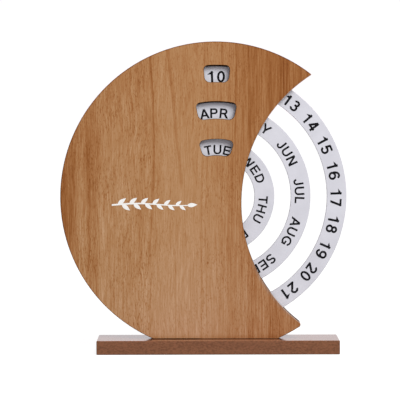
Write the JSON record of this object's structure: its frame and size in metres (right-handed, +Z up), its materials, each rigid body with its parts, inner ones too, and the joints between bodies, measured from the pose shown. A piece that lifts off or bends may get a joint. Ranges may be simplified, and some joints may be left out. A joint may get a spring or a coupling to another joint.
{
  "type": "ring dial perpetual desk calendar",
  "caption": "Round wooden desk calendar with a curved bite, on a flat base; concentric rings turn by hand to show weekday, month and date in windows.",
  "frame": {"origin": "centre of the base plate's underside, on the surface that it stands on", "axes": "+Z up, +X to the right seen from the front, +Y to the rear; the windows face -Y"},
  "size_m": [0.1843, 0.04, 0.2004],
  "materials": {
    "veneer": "satin",
    "board_edge": "matte",
    "base_board": "semi-gloss lacquer",
    "ring_white": "satin with printed lettering",
    "dowel_wood": "matte",
    "screw_steel": "zinc plated"
  },
  "bodies": {
    "body": {"base_plate": "base_board", "base_screws": "screw_steel", "backing_board": "board_edge", "rear_veneer": "veneer", "hub_guide": "board_edge", "month_weekday_guide": "board_edge", "date_month_guide": "board_edge", "outer_guide": "board_edge", "layer_dowels": "dowel_wood", "front_panel": "board_edge", "front_veneer": "veneer"},
    "date_ring": {"date_ring": "ring_white"},
    "month_ring": {"month_ring": "ring_white"},
    "weekday_ring": {"weekday_ring": "ring_white"}
  },
  "joints": [
    {"name": "date_turn", "type": "hinge", "parent": "body", "child": "date_ring", "pos_m": [-0.0008, -0.002, 0.1008], "axis": [0, -1, 0], "continuous": true},
    {"name": "month_turn", "type": "hinge", "parent": "body", "child": "month_ring", "pos_m": [-0.0008, -0.002, 0.1008], "axis": [0, -1, 0], "continuous": true},
    {"name": "weekday_turn", "type": "hinge", "parent": "body", "child": "weekday_ring", "pos_m": [-0.0008, -0.002, 0.1008], "axis": [0, -1, 0], "continuous": true}
  ]
}
